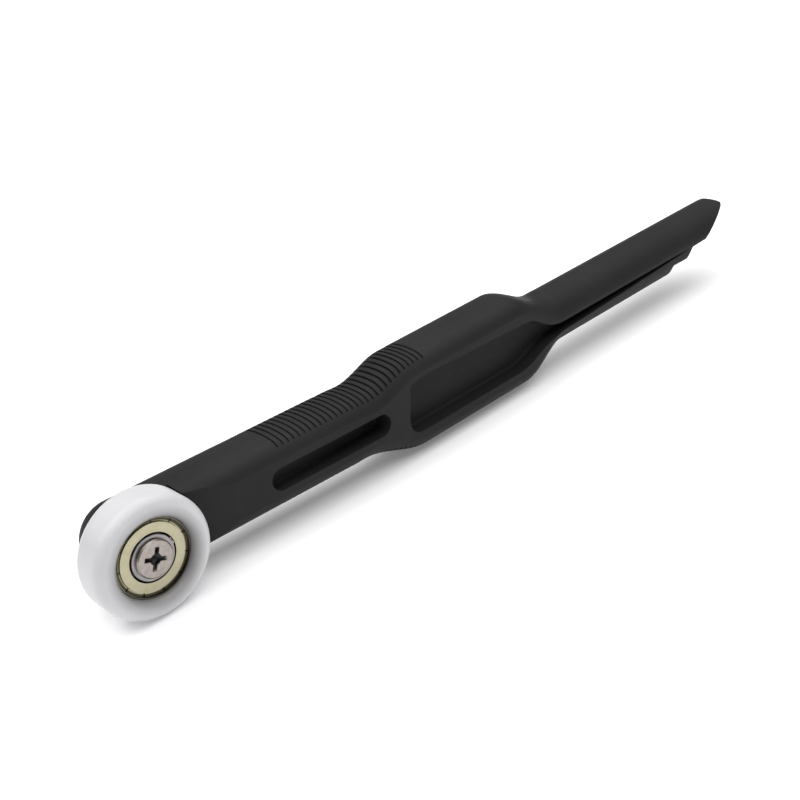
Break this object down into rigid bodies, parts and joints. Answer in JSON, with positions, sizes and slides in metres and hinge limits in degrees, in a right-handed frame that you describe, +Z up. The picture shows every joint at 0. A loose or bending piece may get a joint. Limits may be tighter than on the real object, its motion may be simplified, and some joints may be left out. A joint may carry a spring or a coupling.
{
  "type": "seam roller",
  "caption": "Hand seam roller: a moulded plastic handle with a ribbed grip, palm pockets and a stepped blade tip, and a nylon wheel on a shielded ball bearing held by a cross-head screw.",
  "frame": {"origin": "centre of the wheel, on the axle in the middle of the wheel's width", "axes": "+X along the handle from the wheel to the blade tip, +Y along the axle from the wheel towards the head of the handle, +Z up with the tool standing on edge"},
  "size_m": [0.3136, 0.0289, 0.0396],
  "materials": {
    "handle_plastic": "satin black moulded glass-filled nylon",
    "insert_brass": "turned brass",
    "screw_nickel": "nickel plated steel",
    "wheel_nylon": "white nylon, smooth",
    "bearing_steel": "ground bearing steel",
    "ball_steel": "polished chrome steel",
    "cage_steel": "pressed steel",
    "shield_zinc": "pale yellow zinc plated sheet"
  },
  "bodies": {
    "frame": {"handle": "handle_plastic", "threaded_insert": "insert_brass", "axle_screw": "screw_nickel", "bearing_inner_ring": "bearing_steel"},
    "roller": {"roller_wheel": "wheel_nylon", "bearing_outer_ring": "bearing_steel", "shield_front": "shield_zinc", "shield_back": "shield_zinc"},
    "cage": {"bearing_ball_1": "ball_steel", "bearing_ball_2": "ball_steel", "bearing_ball_3": "ball_steel", "bearing_ball_4": "ball_steel", "bearing_ball_5": "ball_steel", "bearing_ball_6": "ball_steel", "bearing_ball_7": "ball_steel", "cage_front": "cage_steel", "cage_back": "cage_steel", "cage_rivet_1": "cage_steel", "cage_rivet_2": "cage_steel", "cage_rivet_3": "cage_steel", "cage_rivet_4": "cage_steel", "cage_rivet_5": "cage_steel", "cage_rivet_6": "cage_steel", "cage_rivet_7": "cage_steel"}
  },
  "joints": [
    {"name": "wheel_spin", "type": "hinge", "parent": "frame", "child": "roller", "pos_m": [0, 0, 0], "axis": [0, 1, 0], "continuous": true},
    {"name": "cage_spin", "type": "hinge", "parent": "frame", "child": "cage", "pos_m": [0, 0, 0], "axis": [0, 1, 0], "continuous": true}
  ],
  "couplings": [
    {"joint": "cage_spin", "follows": "wheel_spin", "ratio": 0.6323}
  ]
}
